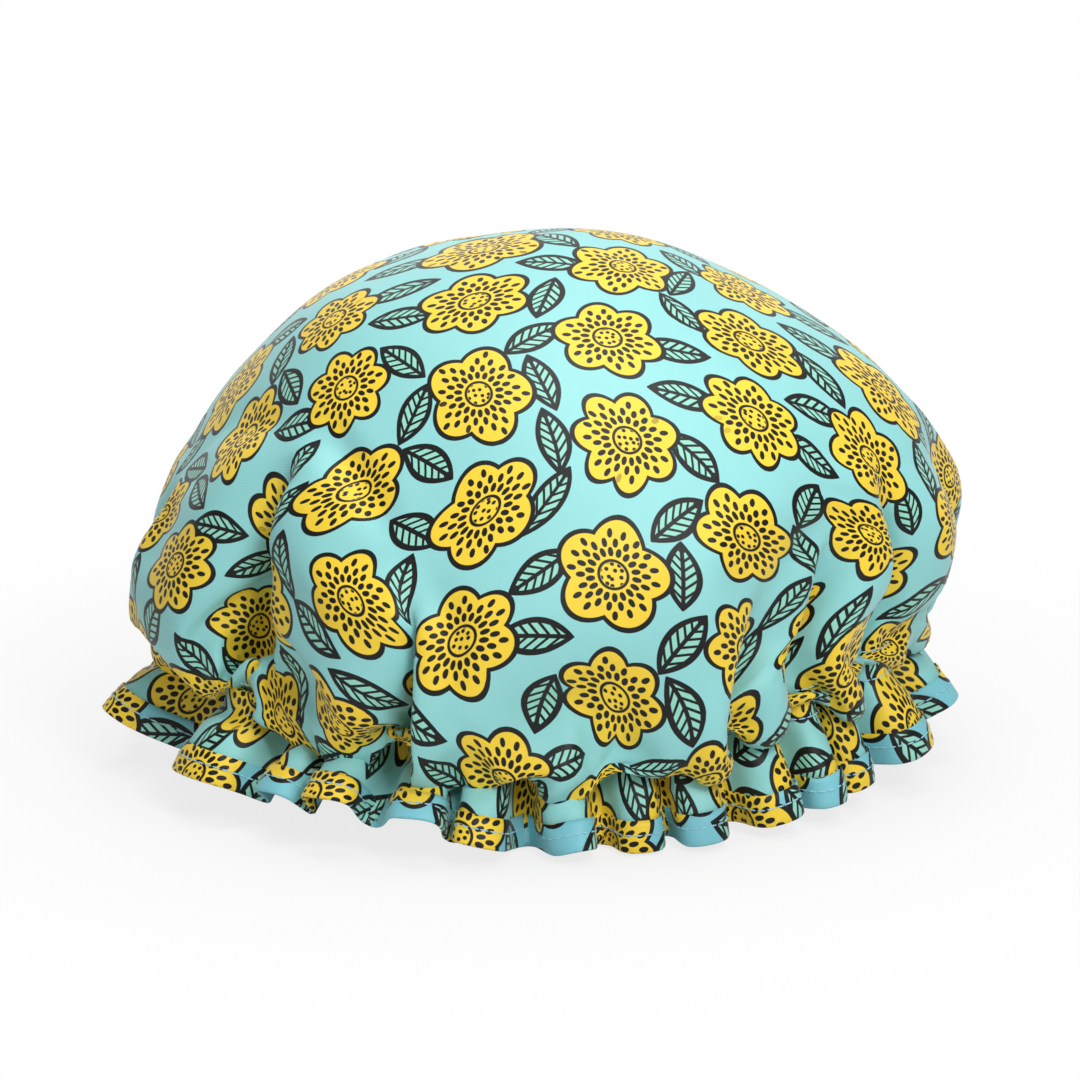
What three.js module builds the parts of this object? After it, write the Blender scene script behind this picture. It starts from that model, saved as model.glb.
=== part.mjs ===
// A gathered cloth shower cap, standing on its frill.
// Millimetres, +Z up, +Y towards the back. The origin is on the resting plane, on the cap's axis.
import * as THREE from 'three';

// Overall form
const CAP_HEIGHT = 179;
const CROWN_DIAMETER = 280;
const CROWN_WIDEST_HEIGHT = 67;
const CASING_DIAMETER = 242;
const CROWN_SAG = 6; // of the crown's lip below the casing's upper seam
const CROWN_LEAN = 8; // of the apex, to the right
const LEAN_START = 45;
const LEAN_END = 130;
const CASING_TOP = 37;
const CASING_DEPTH = 12;
const FRILL_REACH = 4; // of the frill's widest folds beyond the crown

// Tucks in the crown: where they lie, in degrees to the right of the front, and how they run
const TUCK_AZIMUTHS = [-175, -147, -113, -80, -51, -22, 14, 32, 48, 65, 103, 128, 155];
const TUCK_DEPTH = 10;
const TUCK_HALF_WIDTH = 0.125; // as a share of the way to the next tuck

// Gathers: two folds to each tuck, and how far they swing each side of the cloth's mean line
const FOLDS_PER_TUCK = 2;
const CROWN_FOLD_SWING = 4;
const CASING_FOLD_SWING = 2.2;
const FRILL_FOLD_SWING = 7.5;
const NARROW_FOLD_SWING = 0.65;
const BROAD_FOLD_SWING = 1.1;

// Layers and notions
const CLOTH_THICKNESS = 0.6;
const LINING_THICKNESS = 0.5;
const TAPE_THICKNESS = 0.6;
const ELASTIC_WIDTH = 8;
const ELASTIC_THICKNESS = 1.2;
const ELASTIC_LAP = 14;
const BINDING_DEPTH = 10;
const BINDING_THICKNESS = 0.5;
const THREAD_DIAMETER = 0.6;
const SEAM_INSET = 1.6;
const JOIN_BOX_LENGTH = 9;
const JOIN_BOX_HEIGHT = 5;
const JOIN_BOX_CORNER = 1.2;
const LAYER_GAP = 0.3;

// How finely the curves are cut
const FOLD_COUNT = FOLDS_PER_TUCK * TUCK_AZIMUTHS.length;
const FRILL_COLUMNS = FOLD_COUNT * 6;
const CROWN_COLUMNS = FOLD_COUNT * 3;
const SMOOTH_COLUMNS = FOLD_COUNT * 2;
const TOP_COLUMNS = FOLD_COUNT;
const ELASTIC_STEPS = 60;
const DOME_ANGLES = [0, 18, 37, 56, 74];
const DOME_COLUMNS = [CROWN_COLUMNS, CROWN_COLUMNS, TOP_COLUMNS, TOP_COLUMNS, TOP_COLUMNS];
const DOME_TUCKS = [1, 0.5, 0, 0, 0];
const FRILL_FLARE_SHARE = 0.4;

const CASING_BOTTOM = CASING_TOP - CASING_DEPTH;
const CASING_RADIUS = CASING_DIAMETER / 2;
const CROWN_RADIUS = CROWN_DIAMETER / 2;
const BACK_ANGLE = Math.PI / 2;
const FRONT_ANGLE = -BACK_ANGLE;

const material = (name, color, roughness, options = {}) =>
  new THREE.MeshStandardMaterial({ name, color, roughness, metalness: 0, ...options });
const printedCloth = material('printed_cloth', 0x9fdcdc, 0.6);
const bindingCloth = material('binding_cloth', 0x8fd0dc, 0.6);
const liningFilm = material('lining_film', 0xeef2f2, 0.35);
const tapeCloth = material('tape_cloth', 0xbfe3e6, 0.7);
const elasticWeave = material('elastic_weave', 0xf4f2ec, 0.8);
const sewingThread = material('sewing_thread', 0xa9dcee, 0.55);

// The unit normal on the right hand of the way from one point to the next
function rightOf(from, to) {
  return new THREE.Vector2(to.y - from.y, from.x - to.x).normalize();
}

// A line of plan or profile points moved to its right by a distance, with mitred corners
function offsetLine(points, distance, closed) {
  const count = points.length;
  return points.map((point, i) => {
    const normals = [];
    if (closed || i > 0) normals.push(rightOf(points[(i + count - 1) % count], point));
    if (closed || i < count - 1) normals.push(rightOf(point, points[(i + 1) % count]));
    const sum = normals.reduce((total, normal) => total.add(normal), new THREE.Vector2());
    return point.clone().addScaledVector(sum, (distance * normals.length) / sum.lengthSq());
  });
}

// The azimuth of a tuck by its number, which goes on counting past a whole turn
function tuckAzimuth(number) {
  const count = TUCK_AZIMUTHS.length;
  const turns = Math.floor(number / count);
  return TUCK_AZIMUTHS[number - turns * count] + 360 * turns;
}

// One closed plan line round the cap, swinging in and out with the gathers and dipping at the tucks.
// Columns are evenly shared between one tuck and the next, so folds are narrow where tucks are close.
function foldedPlan(columns, radius, swing, dip = 0) {
  const halfColumn = columns === CROWN_COLUMNS ? 0.5 : 0;
  return Array.from({ length: columns }, (_, i) => {
    const turn = (2 * Math.PI * (i + halfColumn)) / columns;
    const place = ((FOLD_COUNT * turn) / (2 * Math.PI) - 0.5) / FOLDS_PER_TUCK;
    const tuck = Math.floor(place);
    const span = tuckAzimuth(tuck + 1) - tuckAzimuth(tuck);
    const breadth = (span * TUCK_AZIMUTHS.length) / 360;
    const depth = THREE.MathUtils.clamp(breadth, NARROW_FOLD_SWING, BROAD_FOLD_SWING);
    const wave = swing * depth * Math.cos(FOLD_COUNT * turn);
    const inTuck = Math.abs(place - Math.round(place)) < TUCK_HALF_WIDTH;
    const azimuth = tuckAzimuth(tuck) + span * (place - tuck);
    const angle = THREE.MathUtils.degToRad(azimuth) + FRONT_ANGLE;
    const reach = radius + wave - (inTuck ? dip : 0);
    return new THREE.Vector2(Math.cos(angle), Math.sin(angle)).multiplyScalar(reach);
  });
}

const leanAt = (height) => CROWN_LEAN * THREE.MathUtils.smoothstep(height, LEAN_START, LEAN_END);
const raise = (plan, height) =>
  plan.map((point) => new THREE.Vector3(point.x + leanAt(height), point.y, height));
const apex = (height) => [new THREE.Vector3(leanAt(height), 0, height)];
const innermost = (plan) => Math.min(...plan.map((point) => point.length()));

// Triangles between two neighbouring rings, which may have different numbers of points.
// A falling band is cut along the same diagonals as a rising one, so facing layers stay parallel.
function bandTriangles(start, end, falls) {
  const triangles = [];
  const startSteps = start.count > 1 ? start.count : 0;
  const endSteps = end.count > 1 ? end.count : 0;
  const at = (ring, i) => ring.first + (i % ring.count);
  let i = 0;
  let j = 0;
  while (i < startSteps || j < endSteps) {
    const lead = (i + 1) * endSteps - (j + 1) * startSteps;
    const startIsBehind = falls ? lead < 0 : lead <= 0;
    if (j === endSteps || (i < startSteps && startIsBehind)) {
      triangles.push(at(start, i), at(start, i + 1), at(end, j));
      i += 1;
    } else {
      triangles.push(at(start, i), at(end, j + 1), at(end, j));
      j += 1;
    }
  }
  return triangles;
}

// A closed solid through a chain of rings: either the chain closes on itself or both ends are points
function loft(rings, closesOnItself) {
  const spans = [];
  let first = 0;
  for (const ring of rings) {
    spans.push({ first, count: ring.length });
    first += ring.length;
  }
  const triangles = [];
  const bands = closesOnItself ? spans.length : spans.length - 1;
  for (let i = 0; i < bands; i += 1) {
    const next = (i + 1) % spans.length;
    const falls = rings[i][0].z > rings[next][0].z;
    triangles.push(...bandTriangles(spans[i], spans[next], falls));
  }
  const geometry = new THREE.BufferGeometry().setFromPoints(rings.flat());
  geometry.setIndex(triangles);
  geometry.computeVertexNormals();
  return geometry;
}

// The crown's outer meridian, from the casing's lower edge round the sagging lip to near the apex.
// x is the radius and y the height.
function crownStations() {
  const billowWidth = CROWN_RADIUS - CASING_RADIUS;
  const billowRise = CROWN_WIDEST_HEIGHT - CASING_TOP;
  const domeRise = CAP_HEIGHT - CROWN_WIDEST_HEIGHT;
  const station = (radius, height, swing, tuck, columns) => ({
    point: new THREE.Vector2(radius, height),
    swing,
    dip: TUCK_DEPTH * tuck,
    columns,
    lined: radius === CASING_RADIUS || height > CASING_TOP,
  });
  const billow = (out, height, swing, tuck) =>
    station(CASING_RADIUS + billowWidth * out, height, swing, tuck, CROWN_COLUMNS);
  const dome = DOME_ANGLES.map((angle, i) => {
    const radians = THREE.MathUtils.degToRad(angle);
    const height = CROWN_WIDEST_HEIGHT + domeRise * Math.sin(radians);
    return station(CROWN_RADIUS * Math.cos(radians), height, 0, DOME_TUCKS[i], DOME_COLUMNS[i]);
  });
  return [
    billow(0, CASING_BOTTOM, CASING_FOLD_SWING, 0),
    billow(0, CASING_TOP, CASING_FOLD_SWING, 0),
    billow(0.35, CASING_TOP - CROWN_SAG, CASING_FOLD_SWING, 0),
    billow(0.76, CASING_TOP - CROWN_SAG * 0.2, CROWN_FOLD_SWING, 0.3),
    billow(0.95, CASING_TOP + billowRise * 0.35, CROWN_FOLD_SWING * 0.6, 0.8),
    ...dome,
  ];
}

const stations = crownStations();
const crownLine = stations.map((station) => station.point);
const crownInnerLine = offsetLine([...crownLine, new THREE.Vector2(0, CAP_HEIGHT)], -CLOTH_THICKNESS, false);
const crownOuterPlans = stations.map((s) => foldedPlan(s.columns, s.point.x, s.swing, s.dip));
const crownInnerPlans = crownOuterPlans.map((plan, i) =>
  offsetLine(plan, crownInnerLine[i].x - crownLine[i].x, true),
);

// The printed cloth from the apex down to the casing's lower seam
function crownCloth() {
  const outer = crownOuterPlans.map((plan, i) => raise(plan, crownLine[i].y));
  const inner = crownInnerPlans.map((plan, i) => raise(plan, crownInnerLine[i].y));
  const domeTop = apex(CAP_HEIGHT);
  const domeUnderside = apex(CAP_HEIGHT - CLOTH_THICKNESS);
  return loft([domeUnderside, ...inner.reverse(), ...outer, domeTop], false);
}

// The lining hangs just inside the deepest fold of the crown, and spans its sagging lip
const linedPlaces = [...stations.keys()].filter((i) => stations[i].lined);
const liningLine = offsetLine(
  [
    ...linedPlaces.map((i) => new THREE.Vector2(innermost(crownInnerPlans[i]), crownInnerLine[i].y)),
    new THREE.Vector2(0, CAP_HEIGHT - CLOTH_THICKNESS),
  ],
  -LAYER_GAP,
  false,
);
const liningInnerLine = offsetLine(liningLine, -LINING_THICKNESS, false);
const liningColumns = linedPlaces.map((i) => Math.min(stations[i].columns, SMOOTH_COLUMNS));

function waterproofLining() {
  const rings = (line) => liningColumns.map((columns, i) => raise(foldedPlan(columns, line[i].x, 0), line[i].y));
  const outerApex = apex(liningLine.at(-1).y);
  const innerApex = apex(liningInnerLine.at(-1).y);
  return loft([innerApex, ...rings(liningInnerLine).reverse(), ...rings(liningLine), outerApex], false);
}

// The frill's mean line, given by how far it has come from the casing (0) to the hem (1)
const bindingReach = CLOTH_THICKNESS / 2 + LAYER_GAP + BINDING_THICKNESS;
const frillSwing = FRILL_FOLD_SWING * BROAD_FOLD_SWING;
const hemRadius = CROWN_RADIUS + FRILL_REACH - frillSwing - bindingReach;
const frillTop = CASING_BOTTOM - LAYER_GAP;

function frillSpine(share) {
  const opened = Math.sin((share * Math.PI) / 2);
  return {
    height: frillTop * (1 - share),
    radius: THREE.MathUtils.lerp(CASING_RADIUS, hemRadius, opened),
    swing: THREE.MathUtils.lerp(CASING_FOLD_SWING, FRILL_FOLD_SWING, opened),
  };
}

const bindingTopShare = 1 - BINDING_DEPTH / frillTop;
const frillStations = [0, bindingTopShare * FRILL_FLARE_SHARE, bindingTopShare, 1].map(frillSpine);

// The frill's mid plan at any height, straight between its stations, moved sideways by a distance
function frillPlan(height, distance) {
  const lower = frillStations.find((s) => s.height <= height) ?? frillStations.at(-1);
  const upper = frillStations[Math.max(frillStations.indexOf(lower) - 1, 0)];
  const span = upper.height - lower.height;
  const share = span > 0 ? (height - lower.height) / span : 0;
  const radius = THREE.MathUtils.lerp(lower.radius, upper.radius, share);
  const swing = THREE.MathUtils.lerp(lower.swing, upper.swing, share);
  return offsetLine(foldedPlan(FRILL_COLUMNS, radius, swing), distance, true);
}

// The printed cloth below the casing, down to its raw edge inside the binding
function frillCloth() {
  const rawEdge = BINDING_THICKNESS + LAYER_GAP;
  const heights = [...frillStations.slice(0, -1).map((s) => s.height), rawEdge];
  const side = (distance) => heights.map((height) => raise(frillPlan(height, distance), height));
  const outer = side(CLOTH_THICKNESS / 2).reverse();
  const inner = side(-CLOTH_THICKNESS / 2);
  return loft([...outer, ...inner], true);
}

// A strip folded round the raw edge, with a leg on each face of the frill and a flat fold to stand on
function edgeBinding() {
  const inside = CLOTH_THICKNESS / 2 + LAYER_GAP;
  const ring = (height, distance) => raise(frillPlan(height, distance), height);
  return loft(
    [
      ring(0, bindingReach),
      ring(BINDING_DEPTH, bindingReach),
      ring(BINDING_DEPTH, inside),
      ring(BINDING_THICKNESS, inside),
      ring(BINDING_THICKNESS, -inside),
      ring(BINDING_DEPTH, -inside),
      ring(BINDING_DEPTH, -bindingReach),
      ring(0, -bindingReach),
    ],
    true,
  );
}

// The tunnel for the elastic lies against the lining, between the casing's two seams
const tunnelWall = liningInnerLine[0].x;
const elasticStep = ELASTIC_THICKNESS + LAYER_GAP;
const elasticMiddle = CASING_BOTTOM + CASING_DEPTH / 2;
const elasticOuter = tunnelWall - LAYER_GAP;
const joinFace = elasticOuter - elasticStep - ELASTIC_THICKNESS - LAYER_GAP;
const tapeHollow = joinFace - THREAD_DIAMETER - LAYER_GAP;

// Flat elastic in one turn and a lap: it winds inwards by its own thickness, so the ends lie one on the other
function elasticBand() {
  const turn = 2 * Math.PI + ELASTIC_LAP / elasticOuter;
  const start = BACK_ANGLE - ELASTIC_LAP / elasticOuter / 2;
  const low = elasticMiddle - ELASTIC_WIDTH / 2;
  const high = elasticMiddle + ELASTIC_WIDTH / 2;
  const sections = Array.from({ length: ELASTIC_STEPS + 1 }, (_, i) => {
    const swept = (turn * i) / ELASTIC_STEPS;
    const outer = elasticOuter - (elasticStep * swept) / (2 * Math.PI);
    const inner = outer - ELASTIC_THICKNESS;
    const out = new THREE.Vector3(Math.cos(start + swept), Math.sin(start + swept), 0);
    const corner = (radius, height) => out.clone().multiplyScalar(radius).setZ(height);
    return [corner(inner, low), corner(inner, high), corner(outer, high), corner(outer, low)];
  });
  const middle = (section) => [section[0].clone().add(section[2]).divideScalar(2)];
  return loft([middle(sections[0]), ...sections, middle(sections.at(-1))], false);
}

// Thread sewn in a box through the elastic's lapped ends
function elasticJoinStitch() {
  const box = (shape, length, height, corner) => {
    const x = length / 2 - corner;
    const y = height / 2 - corner;
    shape.absarc(x, y, corner, 0, Math.PI / 2);
    shape.absarc(-x, y, corner, Math.PI / 2, Math.PI);
    shape.absarc(-x, -y, corner, Math.PI, 1.5 * Math.PI);
    shape.absarc(x, -y, corner, 1.5 * Math.PI, 2 * Math.PI);
    shape.closePath();
    return shape;
  };
  const across = 2 * THREAD_DIAMETER;
  const frame = box(new THREE.Shape(), JOIN_BOX_LENGTH, JOIN_BOX_HEIGHT, JOIN_BOX_CORNER);
  frame.holes.push(
    box(new THREE.Path(), JOIN_BOX_LENGTH - across, JOIN_BOX_HEIGHT - across, JOIN_BOX_CORNER - across / 2),
  );
  const stitch = new THREE.ExtrudeGeometry(frame, {
    depth: THREAD_DIAMETER,
    bevelEnabled: false,
    curveSegments: 4,
  });
  stitch.rotateX(Math.PI / 2);
  stitch.translate(0, joinFace, elasticMiddle);
  return stitch;
}

// Tape sewn inside along both edges, standing away from the lining between them to make the tunnel
function casingTape() {
  const against = tunnelWall - LAYER_GAP;
  const profile = [
    new THREE.Vector2(against, CASING_BOTTOM),
    new THREE.Vector2(against, CASING_BOTTOM + SEAM_INSET - THREAD_DIAMETER),
    new THREE.Vector2(tapeHollow, elasticMiddle - ELASTIC_WIDTH / 2),
    new THREE.Vector2(tapeHollow, elasticMiddle + ELASTIC_WIDTH / 2),
    new THREE.Vector2(against, CASING_TOP - SEAM_INSET + THREAD_DIAMETER),
    new THREE.Vector2(against, CASING_TOP),
  ];
  const rings = (line) => line.map((p) => raise(foldedPlan(SMOOTH_COLUMNS, p.x, 0), p.y));
  const inner = rings(offsetLine(profile, -TAPE_THICKNESS, false));
  return loft([...rings(profile), ...inner.reverse()], true);
}

// One row of sewing thread, square in section, lying on a face that planAt gives at any reach and height
function threadRow(planAt, height) {
  const near = LAYER_GAP;
  const far = LAYER_GAP + THREAD_DIAMETER;
  const half = THREAD_DIAMETER / 2;
  const ring = (reach, level) => raise(planAt(reach, level), level);
  return loft(
    [
      ring(far, height - half),
      ring(far, height + half),
      ring(near, height + half),
      ring(near, height - half),
    ],
    true,
  );
}

const onCasing = (reach) => offsetLine(crownOuterPlans[0], reach, true);
const onBinding = (reach, height) => frillPlan(height, bindingReach + reach);

function piece(name, geometry, itsMaterial) {
  const mesh = new THREE.Mesh(geometry, itsMaterial);
  mesh.name = name;
  return mesh;
}

const outerCloth = new THREE.Group().add(
  piece('crown_cloth', crownCloth(), printedCloth),
  piece('frill_cloth', frillCloth(), printedCloth),
  piece('edge_binding', edgeBinding(), bindingCloth),
);
const casing = new THREE.Group().add(
  piece('waterproof_lining', waterproofLining(), liningFilm),
  piece('casing_tape', casingTape(), tapeCloth),
  piece('elastic_band', elasticBand(), elasticWeave),
);
const seams = new THREE.Group().add(
  piece('casing_stitch_upper', threadRow(onCasing, CASING_TOP - SEAM_INSET), sewingThread),
  piece('casing_stitch_lower', threadRow(onCasing, CASING_BOTTOM + SEAM_INSET), sewingThread),
  piece('binding_stitch', threadRow(onBinding, BINDING_DEPTH / 2), sewingThread),
  piece('elastic_join_stitch', elasticJoinStitch(), sewingThread),
);
const showerCap = new THREE.Group().add(outerCloth, casing, seams);

export default showerCap;
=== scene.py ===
"""Dresses the shower cap's solids: gathered printed cloth, bound frill, lining, casing and stitches."""
import math

import bmesh
import bpy
import numpy as np
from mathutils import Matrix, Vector
from mathutils.bvhtree import BVHTree
from mathutils.geometry import interpolate_bezier


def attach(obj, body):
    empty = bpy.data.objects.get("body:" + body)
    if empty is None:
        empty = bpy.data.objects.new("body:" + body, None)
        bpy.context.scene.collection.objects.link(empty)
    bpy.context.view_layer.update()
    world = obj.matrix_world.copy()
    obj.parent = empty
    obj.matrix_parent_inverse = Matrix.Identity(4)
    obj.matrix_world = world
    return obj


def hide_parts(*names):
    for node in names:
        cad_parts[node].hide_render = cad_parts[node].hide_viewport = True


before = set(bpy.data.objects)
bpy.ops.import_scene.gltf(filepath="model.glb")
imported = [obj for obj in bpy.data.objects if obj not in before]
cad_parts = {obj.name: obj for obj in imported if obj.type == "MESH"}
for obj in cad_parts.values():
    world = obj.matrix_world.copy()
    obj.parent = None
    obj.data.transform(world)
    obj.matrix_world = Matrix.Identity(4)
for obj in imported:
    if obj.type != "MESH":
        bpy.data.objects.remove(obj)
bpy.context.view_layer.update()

bl_info = {
    "name": "Shower Cap",
    "version": (1, 0, 0),
    "blender": (4, 5, 0),
    "location": "View3D > Sidebar > Shower Cap",
    "description": "Builds a gathered cloth shower cap with its frill, lining and stitches",
    "category": "Object",
}

TURN = 2 * math.pi
FRONT = np.array([-math.pi / 2])
BODY = "root"

# Sizes in the print, in metres: how far motifs stray, half widths of inked lines, and what is in a motif.
# DASHES is the number in each ring round a blossom's eye
STRAY = 0.003
RIM_LINE = 0.0009
LEAF_LINE = 0.0010
EYE_LINE = 0.0005
VEIN_LINE = 0.0007
EYE_RADIUS = 0.0048
DASHES = 18
DASH_PITCH = 0.0031
DASH_START = 0.0062
DASH_SIZE = 0.0016
DASH_ROOM = 0.0026
LEAF_LENGTH = 0.0118
LEAF_WIDTH = 0.0052
LEAF_RIBS = 0.0034

# Sizes of the make-up, in metres: layers that touch are kept a little apart
HEM_CLEAR = 0.0011
BINDING_CLOTH = 0.0003
BINDING_CLEAR = 0.0003
FILM = 0.00025
TAPE_CLOTH = 0.0003
ELASTIC_THICK = 0.0012
ELASTIC_LAP = 0.014
FILM_TO_WALL = 0.0006
FILM_TO_CLOTH = 0.0022
TAPE_TO_WALL = 0.0011
ELASTIC_TO_WALL = 0.0024
TAPE_TO_ELASTIC = 0.0016
LAP_CLEAR = 0.0002
STITCH_PITCH = 0.0031
STITCH_LENGTH = 0.0028
THREAD = 0.00055
MERGE = 1e-6

# Pleats in the film and puckers in the tape: how many, and how deep in metres
PLEATS = 31
PLEAT_DEPTH = 0.0045
PUCKERS = 61
PUCKER_DEPTH = 0.0003

# The crown's lip hangs this far out from the casing and below its upper seam, in metres
LIP_OUT = 0.010
LIP_DROP = 0.0115

# Lobes of the frill differ between these shares in width and in strength, and their gathers die out over
# these lengths in metres up the crown
LOBE_WIDTHS = 0.45, 2.4
LOBE_STRENGTHS = 0.6, 1.6
GATHER_RUNS = 0.020, 0.080


class CapSize(bpy.types.PropertyGroup):
    """Sizes of the cap's cloth and notions."""

    crown_radius: bpy.props.FloatProperty(
        name="Crown radius", description="At its widest", default=0.1385, unit="LENGTH")
    crown_height: bpy.props.FloatProperty(
        name="Crown height", description="From its widest level to the apex", default=0.1125, unit="LENGTH")
    widest: bpy.props.FloatProperty(
        name="Widest level", description="Above the standing surface", default=0.067, unit="LENGTH")
    casing_radius: bpy.props.FloatProperty(
        name="Casing radius", description="Mean radius of the gathered casing", default=0.1185, unit="LENGTH")
    casing_top: bpy.props.FloatProperty(
        name="Casing top", description="Height of the upper casing seam", default=0.0375, unit="LENGTH")
    casing_depth: bpy.props.FloatProperty(
        name="Casing depth", description="Between its two seams", default=0.010, unit="LENGTH")
    crown_lean: bpy.props.FloatProperty(
        name="Crown lean", description="To the right, at half height", default=0.0095, unit="LENGTH")
    lip_sag: bpy.props.FloatProperty(
        name="Lip sag", description="Of the crown over the front of the casing", default=0.009, unit="LENGTH")
    side_rise: bpy.props.FloatProperty(
        name="Side rise", description="Of the casing above its front and back", default=0.0095, unit="LENGTH")
    side_tilt: bpy.props.FloatProperty(
        name="Side tilt", description="More on the right, less on the left", default=0.0025, unit="LENGTH")
    frill_depth: bpy.props.FloatProperty(
        name="Frill depth", description="From the lower seam to the hem", default=0.030, unit="LENGTH")
    frill_tilt: bpy.props.FloatProperty(
        name="Frill tilt", description="Outwards from upright", default=math.radians(19), subtype="ANGLE")
    binding_depth: bpy.props.FloatProperty(
        name="Binding depth", description="Of the folded strip on the hem", default=0.010, unit="LENGTH")
    cloth: bpy.props.FloatProperty(
        name="Cloth thickness", description="Of the printed cloth", default=0.00035, unit="LENGTH")
    elastic_width: bpy.props.FloatProperty(
        name="Elastic width", description="Of the flat elastic", default=0.008, unit="LENGTH")


class CapFolds(bpy.types.PropertyGroup):
    """How the cloth is gathered and simulated."""

    side: bpy.props.IntProperty(
        name="Grid side", description="Squares along one side of the cloth's grid", default=104)
    lobes: bpy.props.IntProperty(
        name="Lobes", description="Outward rolls of the frill", default=27)
    seed: bpy.props.IntProperty(
        name="Seed", description="Of the uneven lobes", default=5)
    variety: bpy.props.FloatProperty(
        name="Variety", description="Spread of the lobes' widths", default=0.55)
    casing_fullness: bpy.props.FloatProperty(
        name="Casing fullness", description="Cloth length over casing length", default=1.66)
    hem_fullness: bpy.props.FloatProperty(
        name="Hem fullness", description="Cloth length over hem length", default=1.90)
    slack: bpy.props.FloatProperty(
        name="Slack", description="Extra cloth round the crown, as a share", default=0.02)
    frames: bpy.props.IntProperty(
        name="Frames", description="Length of the simulation", default=60)
    pressure: bpy.props.FloatProperty(
        name="Pressure", description="That puffs the crown out", default=1.4)
    gravity: bpy.props.FloatProperty(
        name="Gravity", description="Share of gravity on the cloth", default=0.45, subtype="FACTOR")


class CapPrint(bpy.types.PropertyGroup):
    """Colours and repeat of the printed cloth."""

    ground: bpy.props.StringProperty(name="Ground", description="sRGB hex", default="95dad9")
    binding: bpy.props.StringProperty(name="Binding ground", description="sRGB hex", default="80cbd8")
    petal: bpy.props.StringProperty(name="Petals", description="sRGB hex", default="fbd63c")
    leaf: bpy.props.StringProperty(name="Leaves", description="sRGB hex", default="98dccb")
    ink: bpy.props.StringProperty(name="Ink", description="sRGB hex", default="0c0b0b")
    column: bpy.props.FloatProperty(
        name="Column spacing", description="Across the repeat", default=0.048, unit="LENGTH")
    row: bpy.props.FloatProperty(
        name="Row spacing", description="Along the repeat", default=0.044, unit="LENGTH")
    blossom: bpy.props.FloatProperty(
        name="Blossom radius", description="Mean radius", default=0.0182, unit="LENGTH")


class CapView(bpy.types.PropertyGroup):
    """The camera's place and frame."""

    elevation: bpy.props.FloatProperty(
        name="Elevation", description="Of the camera", default=math.radians(16), subtype="ANGLE")
    distance: bpy.props.FloatProperty(
        name="Distance", description="From the camera to its target", default=2.8, unit="LENGTH")
    target: bpy.props.FloatProperty(
        name="Target height", description="That the camera looks at", default=0.0720, unit="LENGTH")
    width: bpy.props.FloatProperty(
        name="Frame width", description="At the target", default=0.371, unit="LENGTH")


# Numbers and curves

def smooth(low, high, value):
    """0 below low, 1 above high, and a smooth step between them."""
    share = np.clip((value - low) / (high - low), 0, 1)
    return share * share * (3 - 2 * share)


def wrap(angle):
    """An angle, or an array of them, between minus and plus half a turn."""
    return (angle + math.pi) % TURN - math.pi


def hex_colour(text):
    """A linear RGBA colour from an sRGB hex string."""
    parts = [int(text[i:i + 2], 16) / 255 for i in (0, 2, 4)]
    return [c / 12.92 if c <= 0.04045 else ((c + 0.055) / 1.055) ** 2.4 for c in parts] + [1.0]


def running(steps):
    """The running total of an array's steps, from 0."""
    return np.concatenate([[0], np.cumsum(steps)])


def lengths(vectors):
    """The length of each row."""
    return np.linalg.norm(vectors, axis=1)


def between(a, b, c, d, x):
    """Points a share x of the way from b to c, on Catmull-Rom curves through all four."""
    return b + x / 2 * (c - a + x * (2 * a - 5 * b + 4 * c - d + x * (3 * (b - c) + d - a)))


def around(ring, angle):
    """Points at these angles on a closed ring of evenly spaced points."""
    count = len(ring)
    place = np.asarray(angle) / TURN * count
    first = np.floor(place).astype(int)
    rows = [ring[(first + k) % count] for k in (-1, 0, 1, 2)]
    return between(*rows, (place - first)[:, None])


def add_object(name, data):
    """A new object in the scene, at the origin."""
    made = bpy.data.objects.new(name, data)
    bpy.context.scene.collection.objects.link(made)
    return made


# The gathered cloth

# Tucks in the crown: azimuth from the front in degrees, depth and width in metres, the level up to
# which each runs, and how far it leans under the cloth beside it
TUCKS = [
    (-175, 0.022, 0.0070, 0.086, -0.6),
    (-147, 0.026, 0.0075, 0.108, -0.7),
    (-113, 0.024, 0.0070, 0.090, 0.6),
    (-84, 0.020, 0.0070, 0.096, 0.5),
    (-55, 0.033, 0.0080, 0.120, 0.8),
    (-24, 0.028, 0.0070, 0.092, 0.8),
    (-6, 0.012, 0.0060, 0.056, 0.4),
    (14, 0.016, 0.0065, 0.064, -0.4),
    (32, 0.020, 0.0065, 0.076, -0.5),
    (47, 0.022, 0.0065, 0.090, -0.6),
    (64, 0.028, 0.0075, 0.108, -0.7),
    (88, 0.018, 0.0065, 0.084, -0.5),
    (110, 0.026, 0.0075, 0.108, -0.7),
    (132, 0.022, 0.0065, 0.084, 0.6),
    (157, 0.028, 0.0080, 0.116, 0.7),
]

# A tuck is full this far below its level and gone this far above it, in metres
TUCK_FULL = 0.03
TUCK_GONE = 0.022

# Stretches of the frill that flare out: azimuth from the front, half width and extra tilt in degrees
FLARES = [(-80, 20, 20), (-45, 16, 26), (-20, 13, 36), (80, 13, 24), (148, 26, 28), (-150, 20, 30)]


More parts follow.
